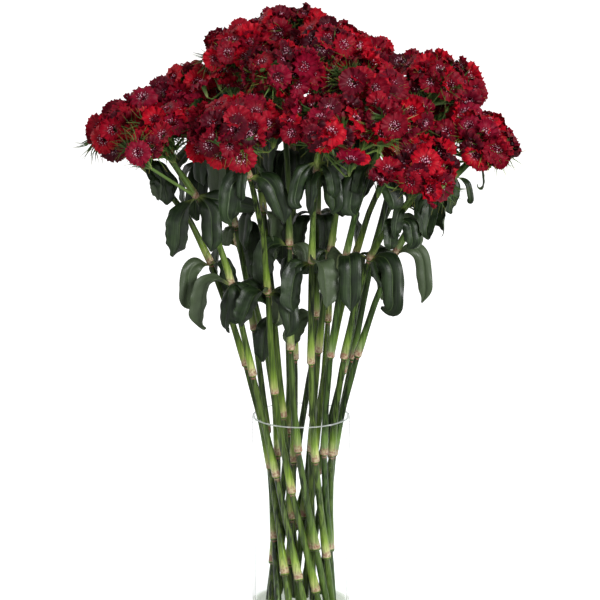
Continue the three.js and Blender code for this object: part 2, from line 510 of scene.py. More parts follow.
def stalkWidth(above, below, height):
    look = stalkLook
    plain = between(look["thick"], look["thin"], min(height / look["thinFrom"], 1))
    if min(above, below) < look["jointHeight"]:
        return plain * look["joint"]
    width = between(look["sheath"], 1, smoothstep(0, look["sheathLength"], above))
    if below < look["waistLength"]:
        narrow = smoothstep(0.002, look["waistLength"], below)
        width = min(width, between(look["waist"], 1, narrow))
    return plain * width


def makeStalk(name, material, tone):
    stem = stems[name]
    look = stalkLook
    line = stem["line"]
    # points along the line, crowded round each joint
    heights = list(np.arange(line[0].z, line[-1].z, look["ring"]))
    for joint in stem["joints"]:
        heights = [height for height in heights if abs(height - joint.z) > look["jointClear"]]
        heights += [joint.z + by for by in look["jointRings"]]
    heights = sorted(heights) + [line[-1].z]
    places = np.array([[*spot] for spot in line])
    spots = np.stack([np.interp(heights, places[:, 2], places[:, k]) for k in range(3)], axis=1)
    bpy.ops.curve.primitive_bezier_curve_add()
    curve = bpy.context.object
    curve.data.splines.clear()
    spline = curve.data.splines.new("POLY")
    spline.points.add(len(spots) - 1)
    marks = []
    for point, spot in zip(spline.points, spots):
        past = [spot[2] - joint.z for joint in stem["joints"]]
        above = min([by for by in past if by >= -1e-6] + [look["mapReach"]])
        below = min([-by for by in past if by < -1e-6] + [look["mapReach"]])
        marks.append((above, below))
        point.co = (*spot, 1)
        point.radius = stalkWidth(above, below, spot[2])
    curve.data.bevel_depth = 1
    curve.data.bevel_resolution = look["round"]
    curve.data.use_fill_caps = True
    bpy.ops.object.convert(target="MESH")
    stalk = bpy.context.object
    settle(stalk)
    edit()
    bpy.ops.mesh.select_all(action="SELECT")
    bpy.ops.mesh.remove_doubles(threshold=1e-6)
    bpy.ops.mesh.normals_make_consistent(inside=False)
    doneEditing()
    smoothed(stalk, 50)
    # the map holds how far above the last joint and below the next one a point is, as a share of
    # mapReach, and the stalk's tone in whole steps across
    mesh = stalk.data
    points = np.array([[*vertex.co] for vertex in mesh.vertices])
    nearest = np.linalg.norm(points[:, None] - spots[None], axis=2).argmin(axis=1)
    layer = mesh.uv_layers[0]
    layer.name = "jointMap"
    for loop in mesh.loops:
        above, below = (min(by / look["mapReach"], 0.99) for by in marks[nearest[loop.vertex_index]])
        layer.data[loop.index].uv = (tone + above, below)
    dress(stalk, material)
    return stalk


def stalkMaterial():
    finish = Finish("stem skin", Specular_IOR_Level=0.3)
    above, below, _ = finish.mapOf("jointMap")
    tone, above = above - above.part(), above.part()
    streaks = finish.noise(finish.place((1, 1, 0.04)), 480, 3)
    patches = finish.noise(finish.place((1, 1, 0.35)), 22, 2)
    height = finish.place().split()[2]
    green = finish.mix(finish.step(patches, 0.35, 0.68), paint(18, 32, 8), paint(68, 92, 30))
    green = finish.mix(finish.step(streaks, 0.4, 0.62, 0, 0.6), green, paint(118, 142, 66))
    pale = finish.ramp(above, [(0.02, paint(222, 214, 178)), (0.12, paint(204, 208, 140)),
                               (0.3, paint(148, 176, 70)), (0.6, paint(78, 108, 34))])
    pale = finish.mix(finish.step(streaks, 0.42, 0.6, 0.6, 0), pale, paint(92, 122, 40))
    # the sheath is pale low on the stem and hardly so near the heads
    sheath = finish.step(above + 0.4 * (patches - 0.5), 0.14, 0.66, 1, 0)
    skin = finish.mix(sheath * finish.step(height, 0.3, 0.46, 1, 0.45), green, pale)
    # under a joint the skin is dark for a short way
    skin = finish.mix(finish.step(below, 0.02, 0.22, 0.55, 0), skin, paint(20, 44, 12))
    shade = finish.ramp(tone * (1 / stalkLook["tones"]) + 0.1,
                        [(0, paint(255, 255, 255)), (0.26, paint(176, 192, 196)),
                         (0.51, paint(236, 240, 214)), (0.76, paint(206, 214, 206))], "CONSTANT")
    skin = finish.mix(1.0, skin, shade, "MULTIPLY")
    # a pinkish ragged band goes round each joint
    mottle = finish.noise(finish.place(), 420, 3)
    band = finish.mix(finish.step(mottle, 0.4, 0.6), paint(146, 92, 80), paint(198, 176, 146))
    ragged = 0.16 * (mottle - 0.5) + 0.12 * (patches - 0.5)
    upper = finish.step(above + ragged, 0.04, 0.14, 0.82, 0)
    lower = finish.step(below + ragged, 0.03, 0.07, 0.82, 0)
    skin = finish.mix(upper + lower, skin, band)
    bumps = finish.bump(streaks, 0.25, 0.0004)
    return finish.set(Base_Color=skin, Roughness=finish.step(patches, 0.3, 0.7, 0.3, 0.42), Normal=bumps)


# The florets: five toothed petals round a dark eye with white specks. A petal is a fan of steps,
# each of stepAngle degrees, with rings across it; tooth, notch, shoulder and corner say how far
# out the parts of its rim reach. bristle is the length of the pale styles in the eye, and
# bristleTilt how far they lean out and how much this changes from one to the next.
floretLook = dict(petals=5, reach=0.0135, stepAngle=7.5, steps=12, rings=(0.87, 0.62, 0.33, 0.06),
                  tooth=1.085, notch=0.97, shoulder=0.92, corner=0.74, overlap=6, throat=0.0032,
                  bristle=0.0034, bristleTilt=(28, 9))
floretTiles = (4, 4)
petalTiles = 8  # the tiles of the two lowest rows: the petals' reds, from bright to dark

# the kinds of floret: how far the rim and the belly of each petal stand out, how far the whole
# petal stands up, in degrees, and how deep its waves are
floretKinds = [
    dict(rim=-0.0014, belly=0.0008, stand=4, wave=0.0012),
    dict(rim=0.0004, belly=-0.0004, stand=14, wave=0.0016),
    dict(rim=-0.0028, belly=0.0012, stand=0, wave=0.0017),
    dict(rim=0.0014, belly=0.0002, stand=34, wave=0.002),
]


def makePetal(kind):
    look = floretLook
    around = lambda spot: math.degrees(math.atan2(spot.x, spot.y))
    out = lambda spot: spot.length / look["reach"]
    half = look["stepAngle"] * look["steps"] / 2
    bpy.ops.mesh.primitive_circle_add(vertices=round(360 / look["stepAngle"]), radius=look["reach"])
    edit()
    pickPoints(lambda spot: abs(around(spot)) > half + 1)
    bpy.ops.mesh.delete(type="VERT")
    pickPoints(lambda spot: True)
    last = 1
    for ring in look["rings"]:
        extrude((0, 0, 0), ring / last)
        last = ring
    # the toothed rim and its rounded corners
    tip = lambda spot: out(spot) > 0.95
    rim = lambda spot: out(spot) > 0.8
    step = lambda spot: round((around(spot) + half) / look["stepAngle"])
    scale(lambda spot: tip(spot) and step(spot) % 2, [look["tooth"]] * 3)
    scale(lambda spot: rim(spot) and abs(around(spot)) > half - 2, [look["corner"]] * 3)
    scale(lambda spot: rim(spot) and half - 9 < abs(around(spot)) < half - 6, [look["shoulder"]] * 3)
    scale(lambda spot: abs(spot.x) < 0.0003 and tip(spot), [look["notch"]] * 3)
    # the petal dips into the throat, swells in its belly and turns over at its rim
    shift(lambda spot: out(spot) < 0.2, (0, 0, -look["throat"]))
    shift(lambda spot: 0.2 < out(spot) < 0.4, (0, 0, -look["throat"] * 0.12))
    shift(lambda spot: 0.4 < out(spot) < 0.7, (0, 0, kind["belly"]))
    shift(lambda spot: out(spot) > 0.93, (0, 0, kind["rim"]))
    shift(lambda spot: rim(spot) and step(spot) % 4 == 1, (0, 0, kind["wave"]))
    shift(lambda spot: rim(spot) and step(spot) % 4 == 3, (0, 0, -kind["wave"]))
    doneEditing()
    petal = bpy.context.object
    full = look["reach"] * 1.08  # a tooth's tip, nearly
    placeOnTile(petal, lambda spot: ((around(spot) + half) / (2 * half), spot.xy.length / full),
                (0, 0), floretTiles)
    lean = Matrix.Rotation(math.radians(look["overlap"]), 4, "Y")
    petal.data.transform(Matrix.Rotation(math.radians(kind["stand"]), 4, "X") @ lean)
    return petal


def makeBristle():
    # one of the pale styles in the eye
    look = floretLook
    bpy.ops.mesh.primitive_cone_add(vertices=3, radius1=0.0003, radius2=0.00022, depth=look["bristle"],
                                    end_fill_type="NOTHING", location=(0, 0, look["bristle"] * 0.45))
    bristle = bpy.context.object
    settle(bristle)
    edit()
    pickPoints(lambda spot: spot.z > look["bristle"] * 0.5)
    extrude((0.0009, 0, 0.0004), 0.5)
    doneEditing()
    placeOnTile(bristle, lambda spot: (0.5, shareOf(spot.z, look["bristle"])), (0, 2), floretTiles)
    return bristle


def makeFloret(kind):
    petal, bristle = makePetal(kind), makeBristle()
    least, more = floretLook["bristleTilt"]
    angle = fullTurn / floretLook["petals"]
    parts = []
    for k in range(floretLook["petals"]):
        parts.append(copyOf(petal, Matrix.Rotation(angle * k, 4, "Z")))
        tilt = Matrix.Rotation(math.radians(least + more * (k % 3)), 4, "Y")
        parts.append(copyOf(bristle, Matrix.Rotation(angle * (k + 0.4), 4, "Z") @ tilt))
    remove(petal, bristle)
    return joined(parts, "floret")


# A closed flower is a twisted dark red point. Above its cup come stages: how high each rises, how
# much narrower it gets and how far it turns, in radians. sunk is how deep it sits in its tube.
budLook = dict(foot=0.0017, mouth=0.0024, cup=0.004, stages=((0.0035, 0.72, 0.5), (0.0024, 0.35, 0.4)),
               length=0.009, sunk=dict(bud=0.003, tuft=0.007, fork=0.005))


def makeBud():
    look = budLook
    bpy.ops.mesh.primitive_cone_add(vertices=6, radius1=look["foot"], radius2=look["mouth"],
                                    depth=look["cup"], end_fill_type="NOTHING", location=(0, 0, 0))
    bud = bpy.context.object
    settle(bud)
    edit()
    pickPoints(lambda spot: spot.z > look["cup"] / 4)
    for rise, narrower, turn in look["stages"]:
        extrude((0, 0, rise), narrower)
        bpy.ops.transform.rotate(value=turn, orient_axis="Z", center_override=(0, 0, 0))
    bpy.ops.mesh.merge(type="CENTER")
    doneEditing()
    placeOnTile(bud, lambda spot: (0.5, shareOf(spot.z, look["length"])), (1, 2), floretTiles)
    return bud


def petalMaterial():
    finish = Finish("petal velvet", Specular_IOR_Level=0.15, Sheen_Weight=0.05, Sheen_Roughness=0.4,
                    Sheen_Tint=paint(255, 30, 50))
    across, along, _ = finish.mapOf(tileMap)
    across, along = across * floretTiles[0], along * floretTiles[1]
    column, row = across - across.part(), along - along.part()
    side, out = across.part(), along.part()
    kind = (column + row * floretTiles[0] + 0.5) * (1 / petalTiles)
    reds = [(178, 8, 31), (146, 7, 31), (120, 6, 29), (128, 6, 38),
            (98, 6, 29), (81, 6, 26), (67, 6, 22), (52, 5, 19)]
    stops = [(k / petalTiles, paint(*red)) for k, red in enumerate(reds)]
    red = finish.ramp(kind, stops, "CONSTANT")
    # fine veins run out to the rim
    veins = finish.noise(finish.vector(side * 26, out * 2.4, kind * 9), 1, 2)
    red = finish.mix(finish.step(veins, 0.42, 0.7, 0, 0.45), red, paint(44, 1, 10))
    clouds = finish.noise(finish.vector(side * 3, out * 3, kind * 5), 1, 3)
    red = finish.mix(finish.step(clouds, 0.45, 0.75, 0, 0.4), red, paint(84, 2, 20))
    # a painted highlight: the outer rim of each petal is painted a brighter pinkish red
    red = finish.mix(finish.step(out, 0.8, 0.96, 0, 0.25), red, paint(190, 16, 44))
    # the eye: wine red round a dark throat
    wobble = finish.noise(finish.vector(side * 9, kind * 4), 1, 1)
    ring = out + 0.16 * (wobble - 0.5)
    eye = finish.step(ring, 0.3, 0.52, 1, 0)
    red = finish.mix(eye * 0.6, red, paint(70, 3, 30))
    red = finish.mix(finish.step(ring, 0.08, 0.16, 1, 0), red, paint(44, 2, 18))
    # white specks, two rows in each petal
    inner = ((side * 2).part() - 0.5).size() + (out - 0.27).size() * 3
    outer = ((side * 3).part() - 0.5).size() + (out - 0.39).size() * 6
    specks = finish.step(inner, 0.1, 0.2, 1, 0) + finish.step(outer, 0.08, 0.17, 0.7, 0)
    red = finish.mix(specks, red, paint(250, 214, 224))
    # the tiles above the petals: pale styles, and the closed buds
    style = finish.mix(finish.step(out, 0.55, 0.95), paint(96, 10, 40), paint(216, 140, 166))
    bud = finish.mix(finish.step(out, 0.15, 0.5), paint(66, 74, 34), paint(96, 8, 26))
    upper = finish.mix(column > 0.5, style, bud)
    colour = finish.mix(row > 1.5, red, upper)
    return finish.set(Base_Color=colour, Roughness=finish.step(veins, 0.3, 0.7, 0.5, 0.62))


# The green parts of a head: each floret sits in a ribbed tube with thin bracts round it, on a
# short stalk of its own. Where no floret opens, a tuft of longer awns stands round the tube.
# below is how far the tube hangs under the floret. stalk is a stalk's radius, stalkEnds and
# forkEnds how thick its two ends are against that, inTube how far it goes into the tube, spread
# how far apart the stalks of one head start, longest the longest one that is made, and handle
# how far its ends run straight.
greenLook = dict(tube=0.0155, below=0.0015, foot=0.0009, belly=0.0019, mouth=0.0023, tooth=0.0028,
                 bracts=4, bractLength=0.0165, bractWidth=0.00055, awns=7, awnLength=0.024,
                 stalk=0.001, stalkEnds=(1.25, 0.85), forkEnds=(1.8, 1.3), inTube=0.0003,
                 spread=0.0012, longest=0.055, handle=0.012)
greenTiles = (4, 4)


def makeTube():
    look = greenLook
    high = -look["below"]
    low = high - look["tube"]
    bpy.ops.mesh.primitive_circle_add(vertices=6, radius=look["foot"], location=(0, 0, low))
    tube = bpy.context.object
    settle(tube)
    edit()
    pickPoints(lambda spot: True)
    middle = (0, 0, low)
    extrude((0, 0, look["tube"] * 0.2), look["belly"] / look["foot"], middle)
    extrude((0, 0, look["tube"] * 0.6), look["mouth"] / look["belly"], middle)
    extrude((0, 0, look["tube"] * 0.2), 1.12, middle)
    # every second corner of the mouth is cut down, so that the others stand up as teeth
    around = lambda spot: round(math.degrees(math.atan2(spot.y, spot.x)) / 60)
    shift(lambda spot: abs(spot.z - high) < 0.0005 and around(spot) % 2 == 0, (0, 0, -look["tooth"]))
    doneEditing()
    ribs = lambda spot: 0.5 + 0.4 * math.sin(3 * math.atan2(spot.y, spot.x))
    placeOnTile(tube, lambda spot: (ribs(spot), shareOf(spot.z - low, look["tube"])), (0, 0), greenTiles)
    return tube


def makeBract(length):
    # a needle that starts at the tube's foot, follows it and turns away at its tip
    look = greenLook
    low = -look["tube"] + 0.001
    bpy.ops.mesh.primitive_circle_add(vertices=3, radius=look["bractWidth"],
                                      location=(look["belly"] * 0.9, 0, low))
    bract = bpy.context.object
    settle(bract)
    edit()
    pickPoints(lambda spot: True)
    extrude((length * 0.05, 0, length * 0.36), 1.25, (look["belly"] * 0.95, 0, 0))
    extrude((length * 0.17, 0, length * 0.36), 0.72, (look["belly"] * 1.5, 0, 0))
    extrude((length * 0.3, 0, length * 0.3), 0.1, (length * 0.6, 0, 0))
    doneEditing()
    placeOnTile(bract, lambda spot: (0.5, shareOf(spot.z - low, length)), (0, 1), greenTiles)
    return bract


def makeCalyx(length, count):
    tube, bract = makeTube(), makeBract(length)
    parts = [tube]
    for k in range(count):
        longer = Matrix.Diagonal((1, 1, 1 + 0.14 * math.sin(k * 2.4), 1))
        turn = Matrix.Rotation(fullTurn * (k + 0.3 * (k % 2)) / count, 4, "Z")
        parts.append(copyOf(bract, turn @ longer))
    remove(bract)
    return joined(parts, "calyx")


def makeFlowerStalks(ways):
    # each way has a start, the direction there, an end, the direction there and two thicknesses
    bpy.ops.curve.primitive_bezier_curve_add()
    curve = bpy.context.object
    curve.data.splines.clear()
    for start, startWay, end, endWay, sizes in ways:
        spline = curve.data.splines.new("BEZIER")
        spline.bezier_points.add(1)
        reach = min((end - start).length * 0.4, greenLook["handle"])
        ends = zip(spline.bezier_points, (start, end), (startWay, endWay), sizes)
        for point, spot, way, size in ends:
            point.handle_left_type = point.handle_right_type = "FREE"
            point.co, point.radius = spot, size
            point.handle_left, point.handle_right = spot - way * reach, spot + way * reach
    curve.data.resolution_u = 5
    curve.data.bevel_depth = greenLook["stalk"]
    curve.data.bevel_resolution = 1
    bpy.ops.object.convert(target="MESH")
    stalks = bpy.context.object
    settle(stalks)
    low = min(start.z for start, *_ in ways)
    high = max(end.z for _, _, end, *_ in ways)
    placeOnTile(stalks, lambda spot: (0.5, shareOf(spot.z - low, high - low + 1e-6)), (0, 2), greenTiles)
    return stalks


def greenMaterial():
    finish = Finish("flower green", Specular_IOR_Level=0.4)
    across, along, _ = finish.mapOf(tileMap)
    across, along = across * greenTiles[0], along * greenTiles[1]
    column, row = across - across.part(), along - along.part()
    side, out = across.part(), along.part()
    ribs = finish.noise(finish.vector(side * 14, out * 2, column * 3), 1, 2)
    tube = finish.ramp(out, [(0.1, paint(164, 176, 108)), (0.45, paint(92, 122, 56)),
                             (0.8, paint(62, 92, 42)), (0.97, paint(104, 70, 54))])
    bract = finish.ramp(out, [(0.08, paint(150, 168, 96)), (0.4, paint(74, 108, 48)),
                              (0.8, paint(98, 128, 54)), (0.96, paint(190, 168, 92))])
    stalk = finish.ramp(out, [(0.05, paint(122, 150, 74)), (0.6, paint(88, 120, 54)),
                              (0.95, paint(150, 164, 100))])
    colour = finish.mix(row > 0.5, tube, bract)
    colour = finish.mix(row > 1.5, colour, stalk)
    colour = finish.mix(finish.step(ribs, 0.35, 0.7, 0, 0.32), colour, paint(34, 58, 26))
    shade = finish.ramp(column * (1 / greenTiles[0]) + 0.1,
                        [(0, paint(255, 255, 255)), (0.26, paint(200, 206, 190)),
                         (0.51, paint(226, 232, 196)), (0.76, paint(176, 186, 160))], "CONSTANT")
    colour = finish.mix(1.0, colour, shade, "MULTIPLY")
    return finish.set(Base_Color=colour, Roughness=finish.step(ribs, 0.3, 0.7, 0.42, 0.58))


# A head: florets spread evenly over its dome, jostled a little. tilt is how far they lean off
# the dome, in degrees, bare the share of them that are closed buds, and clear how near to the
# middle of the next head, in its radii, a floret may stand. stray is how far a floret is moved
# round the dome, and underside how deep the head goes down, against the imported one. toneSpread
# says how far the reds go from bright to dark, and paintedShadeBelow how many steps darker the
# florets that face downwards are painted: painted shade under the head.
# In one head's own values dome makes it smaller, within keeps its florets to these lowest and
# highest places, flats are points and ways: a floret that lies past such a point is moved back
# level with it, lower is how many degrees further down the florets go, and more lists florets
# of its own: where they are, where they face and, if need be, their tone or "tuft".
headLook = dict(fullRadius=0.037, dome=1, tilt=29, jostle=0.003, sizes=(0.84, 1.14), bare=0.06,
                clear=0.8, stray=0.2, underside=0.75, toneSpread=3.1, paintedShadeBelow=2,
                ruffle=0.0034, ruffleSize=0.007,
                within=((-1, -1, 0), (1, 1, 1)), flats=(), lower=0, more=())
# its layers of florets: how many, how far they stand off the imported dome, and how far down they
# go in degrees from its top
headLayers = [
    dict(florets=28, stand=-0.001, lowest=108),
    dict(florets=16, stand=-0.0095, lowest=100),
]
# the florets in the creases between the heads. From the bunch's heart outwards they are spread
# as on a ball with the radius reach. near says which heads count, in radii, and clear how near
# the closest may be. lean is how much to one side these heads may stand low down and high up,
# and steep where low and high are. under is how far under the domes a floret lies, hang how far
# it may be below its head's foot, sway how unevenly it faces, and tufts the share of tufts.
creaseLook = dict(heart=(0, 0, 0.235), reach=0.3, spacing=0.0156, clear=0.73, near=2.4, lean=(0.5, 0.9),
                  steep=(0.72, 0.95), under=(0.002, 0.012), hang=0.001, sway=0.2, tufts=0.12)
# the spiky green rim under the florets: bare tubes with their bracts, between these two angles
# from the top, in degrees, on a ball that is flattened a little
tufts = dict(count=12, highest=96, lowest=128, stray=0.3, stand=-0.006, flat=0.62, sizes=(1, 1.3))
# spots where only green needles stand: middle and size
openSpots = [
    ((0.078, -0.14, 0.538), 0.016), ((-0.085, 0.02, 0.54), 0.014), ((0.04, -0.06, 0.576), 0.012),
    ((-0.175, -0.055, 0.531), 0.024), ((-0.128, -0.07, 0.5065), 0.018),
    ((-0.176, -0.055, 0.5), 0.013), ((0.128, -0.045, 0.522), 0.01),
]
ownLook = {
    "young": dict(bare=0.25),
    "left_front": dict(
        more=[((-0.1615, -0.09, 0.5025), (-0.1, -1, 0.1), 3),
              ((-0.172, -0.084, 0.51), (-0.5, -0.35, 1), "tuft"),
              ((-0.1615, -0.084, 0.514), (0, -0.35, 1), "tuft"),
              ((-0.151, -0.084, 0.51), (0.5, -0.35, 1), "tuft")]),
    "mid_left_front": dict(
        more=[((-0.059, -0.115, 0.502), (0, -1, -0.1)), ((-0.08, -0.105, 0.5045), (-0.1, -1, 0)),
              ((-0.1, -0.09, 0.507), (-0.3, -1, -0.1))]),
    "right_middle": dict(bare=0.2),
    "far_left": dict(
        dome=0.94, within=((-0.203, -1, 0.482), (1, 1, 1)), flats=[((-0.193, 0, 0.508), (-0.7, 0, 0.7))],
        more=[((-0.202, -0.004, 0.51), (-0.8, -0.6, 0.4)), ((-0.19, -0.02, 0.491), (-0.4, -1, -0.3)),
              ((-0.199, -0.03, 0.503), (-0.5, -1, 0.1), 0), ((-0.188, -0.036, 0.514), (-0.2, -1, 0.3), 1),
              ((-0.16, 0.02, 0.537), (-0.2, -0.6, 0.8))]),
    "far_right": dict(
        lower=16, within=((-1, -1, 0.468), (0.211, 1, 1)),
        flats=[((0.19, 0, 0.524), (0.5, 0, 0.86)), ((0.198, 0, 0.486), (0.7, 0, -0.7))],
        more=[((0.1747, -0.055, 0.4934), (0, -1, 0)), ((0.196, -0.045, 0.488), (0.3, -1, 0)),
              ((0.145, -0.04, 0.5125), (-0.2, -1, 0.2)), ((0.181, -0.05, 0.486), (0.1, -1, -0.2))]),
    "right_upper": dict(
        within=((-1, -1, 0), (0.182, 1, 1)),
        flats=[((0, 0, 0.571), (0, 0, 1)), ((0.165, 0, 0.566), (1, 0, 1))],
        more=[((0.1, 0.035, 0.571), (0, -0.6, 1))]),
    "back_right_top": dict(
        dome=0.96, flats=[((0.08, 0, 0.58), (1, 0, 0)), ((0, 0, 0.577), (0, 0, 1)),
                          ((0.078, 0, 0.572), (1, 0, 1))]),
    "upper_left": dict(
        dome=0.97, within=((-0.091, -1, 0), (1, 1, 1)),
        more=[((-0.0785, 0.03, 0.5606), (-0.3, -1, 0.5)), ((-0.088, 0.03, 0.586), (-0.8, -0.6, 0.3)),
              ((-0.062, 0.04, 0.603), (-0.3, -0.7, 0.7))]),
    "centre_top": dict(dome=0.92),
    "top": dict(dome=0.98, flats=[((0.006, 0, 0.61), (0.5, 0, 0.86))]),
    "right_front": dict(
        within=((-1, -1, 0.458), (1, 1, 1)), flats=[((0.152, 0, 0.507), (0.9, 0, -0.4))],
        more=[((0.0925, -0.08, 0.507), (-0.1, -1, 0.1))]),
}


# Forks of the stalks: the joint they leave, counted down from the head, where they end, and the
# turn and tilt in degrees of each tuft there
forks = {
    "left_front": [(0, (-0.127, -0.06, 0.487), [(0, 20), (140, 30), (250, 15)]),
                   (0, (-0.15, -0.066, 0.482), [(180, 20), (300, 20), (60, 30)])],
    "centre_front": [(0, (0.072, -0.118, 0.517), [(0, 30), (100, 20), (320, 50)])],
    "right_front": [(0, (0.108, -0.086, 0.455), [(60, 20), (200, 20)])],
}


def inOpenSpot(spot):
    return any((spot - Vector(middle)).length < size for middle, size in openSpots)


def floretSpots(name, chance):
    look = {**headLook, **ownLook.get(name, {})}
    head = heads[name]
    others = [other for key, other in heads.items() if key != name]
    turned = head["facing"].to_track_quat("Z", "Y")
    # a lean that is made of three random parts is on average 1.6 times as long as one of them
    sway = math.tan(math.radians(look["tilt"])) / 1.6
    spots = []
    for layer in headLayers:
        count = round(layer["florets"] * (head["radius"] / look["fullRadius"]) ** 2)
        lowest = math.cos(math.radians(layer["lowest"] + look["lower"]))
        start = chance.uniform(0, fullTurn)
        for k in range(count):
            rise = 1 - (k + 0.5) / count * (1 - lowest)
            level = math.sqrt(1 - rise * rise)
            angle = start + k * goldenAngle + chance.uniform(-look["stray"], look["stray"])
            wide = head["radius"] * look["dome"] + layer["stand"]
            high = head["rise"] if rise > 0 else head["drop"] * look["underside"]
            high = high * look["dome"] + layer["stand"]
            spot = Vector((wide * level * math.cos(angle), wide * level * math.sin(angle), high * rise))
            normal = Vector((spot.x / wide**2, spot.y / wide**2, spot.z / high**2)).normalized()
            normal = (normal + Vector([chance.gauss(0, sway) for _ in range(3)])).normalized()
            spot += normal * chance.uniform(-1, 1) * look["jostle"]
            spot = head["middle"] + turned @ spot
            closed = chance.random() < look["bare"]
            for edge, way in look["flats"]:
                way = Vector(way).normalized()
                spot -= way * max((spot - Vector(edge)).dot(way), 0)
            # a floret that would stand inside a neighbouring head is left out
            if min((spot - other["middle"]).length / other["radius"] for other in others) < look["clear"]:
                continue
            low, high = look["within"]
            if any(part < least or part > most for part, least, most in zip(spot, low, high)):
                continue
            kind = "tuft" if inOpenSpot(spot) else "bud" if closed else "open"
            spots.append((spot, turned @ normal, kind))
    return spots + [(Vector(spot), Vector(way).normalized(), kind[0] if kind else "open")
                    for spot, way, *kind in look["more"]]


def creaseSpots(chance):
    look = creaseLook
    heart = Vector(look["heart"])
    count = round(2 * fullTurn * (look["reach"] / look["spacing"]) ** 2)
    found = {name: [] for name in heads}
    for k in range(count):
        rise = 1 - 2 * (k + 0.5) / count
        level = math.sqrt(1 - rise * rise)
        way = Vector((level * math.cos(k * goldenAngle), level * math.sin(k * goldenAngle), rise))
        near = []
        for name, head in heads.items():
            along = (head["middle"] - heart).dot(way)
            aside = (head["middle"] - heart - way * along) / head["radius"]
            if along > 0 and aside.length < look["near"]:
                near.append((aside.length, along, aside, name))
        if len(near) < 3 or min(near)[0] < look["clear"]:
            continue
        weights = [1 / share**2 for share, *_ in near]
        lean, depth = Vector(), 0
        for weight, (_, along, aside, _) in zip(weights, near):
            lean += aside.normalized() * weight
            depth += weight * along / sum(weights)
        spot = heart + way * (depth - chance.uniform(*look["under"]))
        normal = (way + Vector([chance.gauss(0, look["sway"]) for _ in range(3)])).normalized()
        kind = "tuft" if chance.random() < look["tufts"] or inOpenSpot(spot) else "open"
        # low down only the florets that have heads all round them are kept, and none that hang
        nearest = min(near)[3]
        most = between(*look["lean"], smoothstep(*look["steep"], rise))
        lowest = heads[nearest]["foot"].z - look["hang"]
        if lean.length / sum(weights) < most and spot.z > lowest:
            found[nearest].append((spot, normal, kind))
    return found


def tuftSpots(name, chance):
    head = heads[name]
    turned = head["facing"].to_track_quat("Z", "Y")
    spots = []
    for k in range(tufts["count"]):
        angle = k * goldenAngle + chance.uniform(-tufts["stray"], tufts["stray"])
        down = math.radians(chance.uniform(tufts["highest"], tufts["lowest"]))
        way = Vector((math.sin(down) * math.cos(angle), math.sin(down) * math.sin(angle), math.cos(down)))
        spot = Vector((way.x, way.y, way.z * tufts["flat"])) * (head["radius"] + tufts["stand"])
        spots.append((head["middle"] + turned @ spot, turned @ way))
    return spots


def frameAt(spot, normal, spin, size):
    turned = normal.to_track_quat("Z", "Y") @ Quaternion((0, 0, 1), spin)
    return Matrix.LocRotScale(spot, turned, Vector((size, size, size)))


def makeRed(models, place, normal, kind, chance):
    # an open floret with one of the reds, or a closed one that is sunk in its tube
    if kind in ("bud", "tuft"):
        return copyOf(models["bud"], place @ Matrix.Translation((0, 0, -budLook["sunk"][kind])))
    floret = copyOf(chance.choice(models["florets"]), place)
    # florets that face downwards are painted darker reds: painted shade under the head
    below = 0 if normal.z > -0.2 else headLook["paintedShadeBelow"]
    tone = min(int(abs(chance.gauss(0, headLook["toneSpread"])) + below), petalTiles - 1)
    tone = tone if kind == "open" else kind
    columns, rows = floretTiles
    moveTile(floret.data, tone % columns / columns, tone // columns / rows, 1 / rows)
    return floret


def makeGreen(model, place, chance):
    calyx = copyOf(model, place)
    moveTile(calyx.data, chance.randrange(greenTiles[0]) / greenTiles[0], 0)
    return calyx


def tubeFoot(place):
    look = greenLook
    return place @ Vector((0, 0, look["inTube"] - look["below"] - look["tube"]))


def makeFork(name, models, joint, end, tilts, chance):
    start, end = jointOf(name, joint), Vector(end)
    way = (end - start).normalized()
    red, green, ways = [], [], []
    for turn, tilt in tilts:
        aside = Vector((math.sin(math.radians(tilt)), 0, 0))
        normal = (way + Quaternion((0, 0, 1), math.radians(turn)) @ aside).normalized()
        place = frameAt(end + normal * greenLook["tube"], normal, chance.uniform(0, fullTurn), 1)
        green.append(copyOf(models["tuft"], place))
        red.append(copyOf(models["bud"], place @ Matrix.Translation((0, 0, -budLook["sunk"]["fork"]))))
        ways.append((start, way, tubeFoot(place), way, greenLook["forkEnds"]))
    return red, green, ways


def makeHead(name, models, chance):
    look = {**headLook, **ownLook.get(name, {})}
    foot, facing = heads[name]["foot"], heads[name]["facing"]
    red, green, ways = [], [], []
    for spot, normal, kind in floretSpots(name, chance) + models["creases"][name]:
        size = chance.uniform(*look["sizes"])
        place = frameAt(spot, normal, chance.uniform(0, fullTurn), size)
        red.append(makeRed(models, place, normal, kind, chance))
        green.append(makeGreen(models["tuft" if kind == "tuft" else "calyx"], place, chance))
        start = foot + Vector([chance.uniform(-1, 1) * greenLook["spread"] for _ in range(3)])
        if (tubeFoot(place) - foot).length < greenLook["longest"]:
            ways.append((start, facing, tubeFoot(place), normal, greenLook["stalkEnds"]))
    for spot, normal in tuftSpots(name, chance):
        place = frameAt(spot, normal, chance.uniform(0, fullTurn), chance.uniform(*tufts["sizes"]))
        green.append(makeGreen(models["tuft"], place, chance))
        ways.append((foot, facing, tubeFoot(place), normal, greenLook["stalkEnds"]))
    for fork in forks.get(name, []):
        for parts, more in zip((red, green, ways), makeFork(name, models, *fork, chance)):
            parts.extend(more)
    green.append(makeFlowerStalks(ways))
    florets = joined(red, name + "_florets")
    dress(florets, models["petalMaterial"])
    ruffle = florets.modifiers.new("ruffle", "DISPLACE")
    ruffle.texture, ruffle.strength = models["ruffle"], look["ruffle"]
    applyModifiers(florets)
    smoothed(florets, 60)
    finished(florets, name + "_florets", "petal", name + "_head")
    greens = joined(green, name + "_greens")
    dress(greens, models["greenMaterial"])
    smoothed(greens, 60)
    finished(greens, name + "_greens", "stem")


